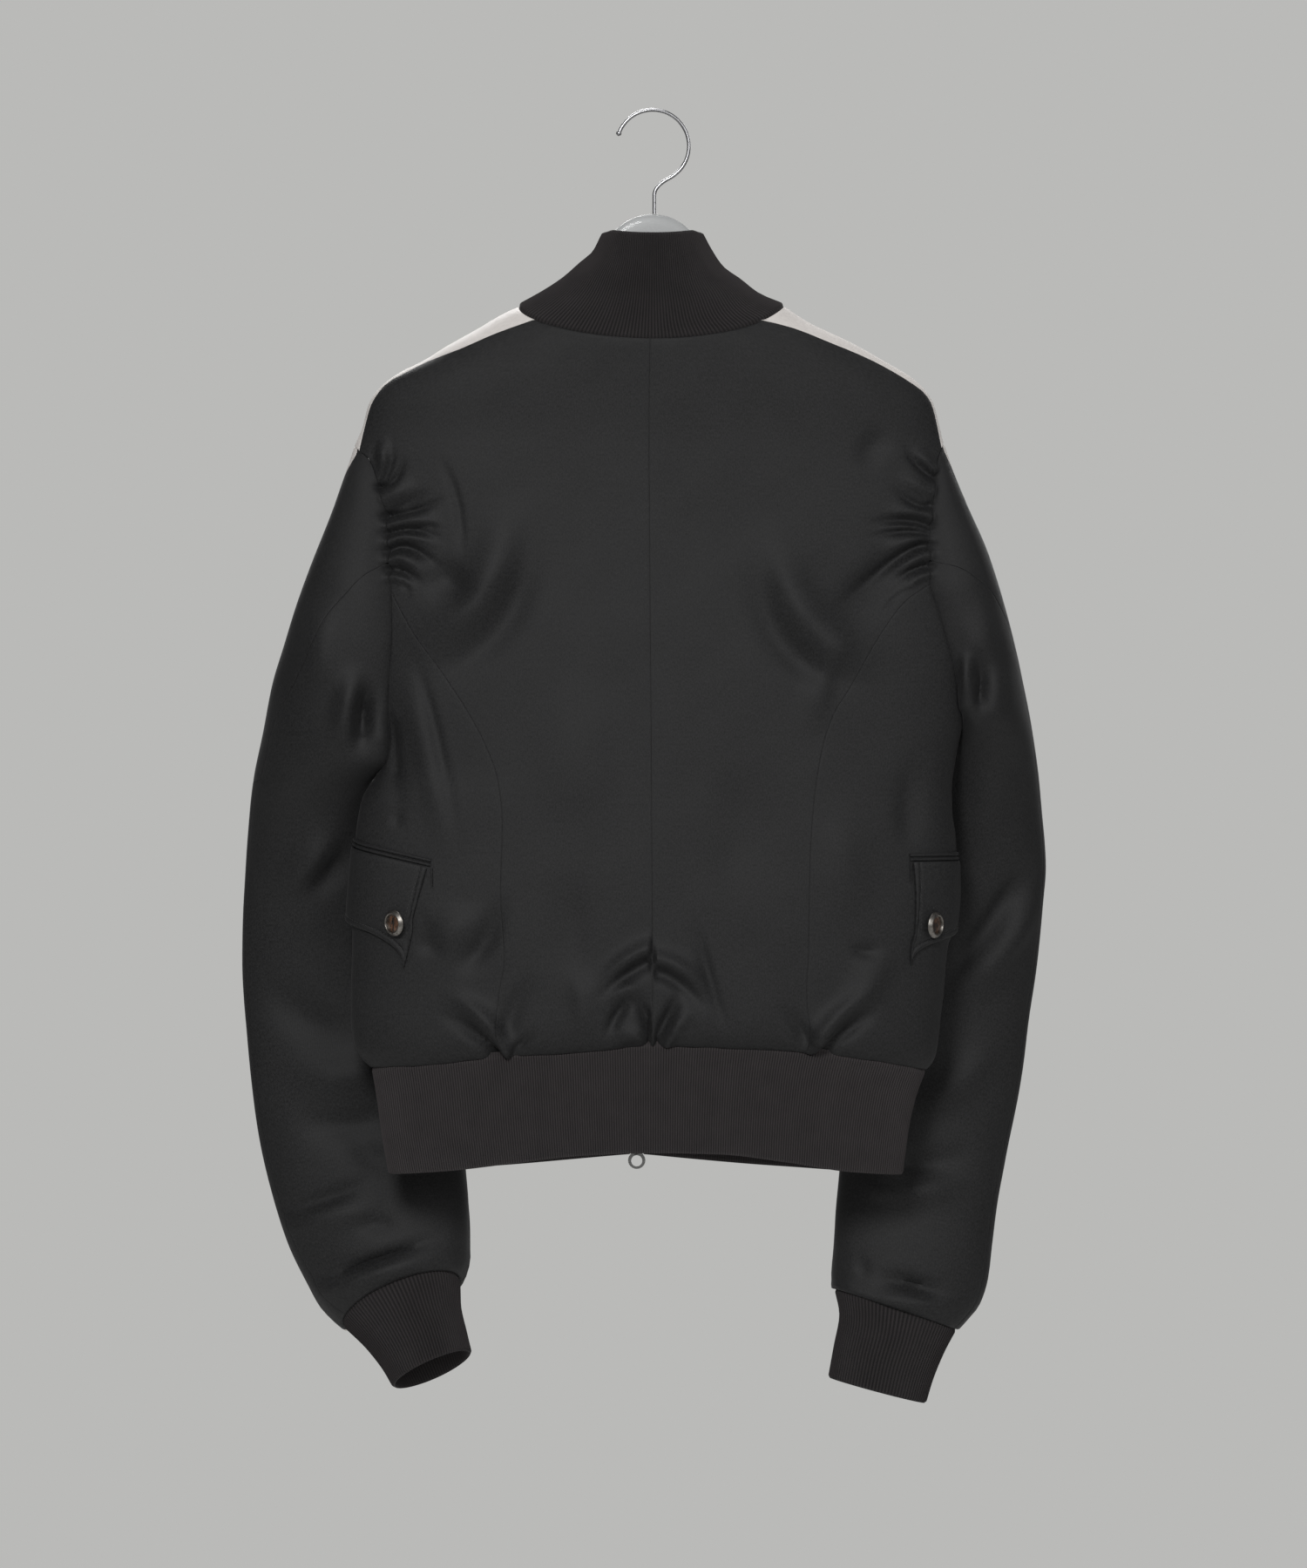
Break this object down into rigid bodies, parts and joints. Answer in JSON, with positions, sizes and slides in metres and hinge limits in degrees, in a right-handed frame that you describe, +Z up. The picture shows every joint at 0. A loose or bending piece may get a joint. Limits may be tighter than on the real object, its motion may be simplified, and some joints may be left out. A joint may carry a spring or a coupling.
{
  "type": "track jacket on a hanger",
  "caption": "Short zipped track jacket with ribbed collar, cuffs and hem, a pale stripe down each sleeve and gathered back, hung on a moulded hanger.",
  "frame": {"origin": "the top of the inside of the hanger's hook, where a rail or peg bears on it", "axes": "+Z up; the jacket's back faces -Y and its zipped front +Y; +X is the right-hand side seen from behind"},
  "size_m": [0.6042, 0.1635, 0.9694],
  "materials": {
    "black_jersey": "fine smooth knit with a soft satin sheen",
    "white_jersey": "fine smooth warm white knit",
    "charcoal_rib": "fine vertical rib knit, matt",
    "zip_tape": "woven tape",
    "nickel": "polished nickel plate",
    "aged_silver": "aged silver rim round a dark horn face",
    "hanger_plastic": "pale grey translucent moulding",
    "dark_chrome": "polished dark chrome wire"
  },
  "bodies": {
    "jacket": {"back_left": "black_jersey", "back_right": "black_jersey", "side_left": "black_jersey", "side_right": "black_jersey", "front_left": "black_jersey", "front_right": "black_jersey", "shoulder_stripe_left": "white_jersey", "shoulder_stripe_right": "white_jersey", "sleeve_under_left": "black_jersey", "sleeve_under_right": "black_jersey", "sleeve_top_left": "black_jersey", "sleeve_top_right": "black_jersey", "sleeve_stripe_left": "white_jersey", "sleeve_stripe_right": "white_jersey", "sleeve_front_left": "black_jersey", "sleeve_front_right": "black_jersey", "cuff_left": "charcoal_rib", "cuff_right": "charcoal_rib", "collar": "charcoal_rib", "hem_rib": "charcoal_rib", "pocket_flap_left": "black_jersey", "pocket_flap_right": "black_jersey", "pocket_welt_left": "black_jersey", "pocket_welt_right": "black_jersey", "button_left": "aged_silver", "button_right": "aged_silver", "zip": "zip_tape", "slider_upper": "nickel", "slider_lower": "nickel", "hanger_body": "hanger_plastic", "hanger_hook": "dark_chrome"},
    "upper_tab": {"pull_upper": "nickel"},
    "lower_tab": {"pull_lower": "nickel"}
  },
  "joints": [
    {"name": "upper_pull", "type": "hinge", "parent": "jacket", "child": "upper_tab", "pos_m": [0, 0.05943, -0.104], "axis": [1, 0, 0], "range_deg": [0, 150]},
    {"name": "lower_pull", "type": "hinge", "parent": "jacket", "child": "lower_tab", "pos_m": [-0.01198, 0.04337, -0.7695], "axis": [1, 0, 0], "range_deg": [0, 150]}
  ]
}
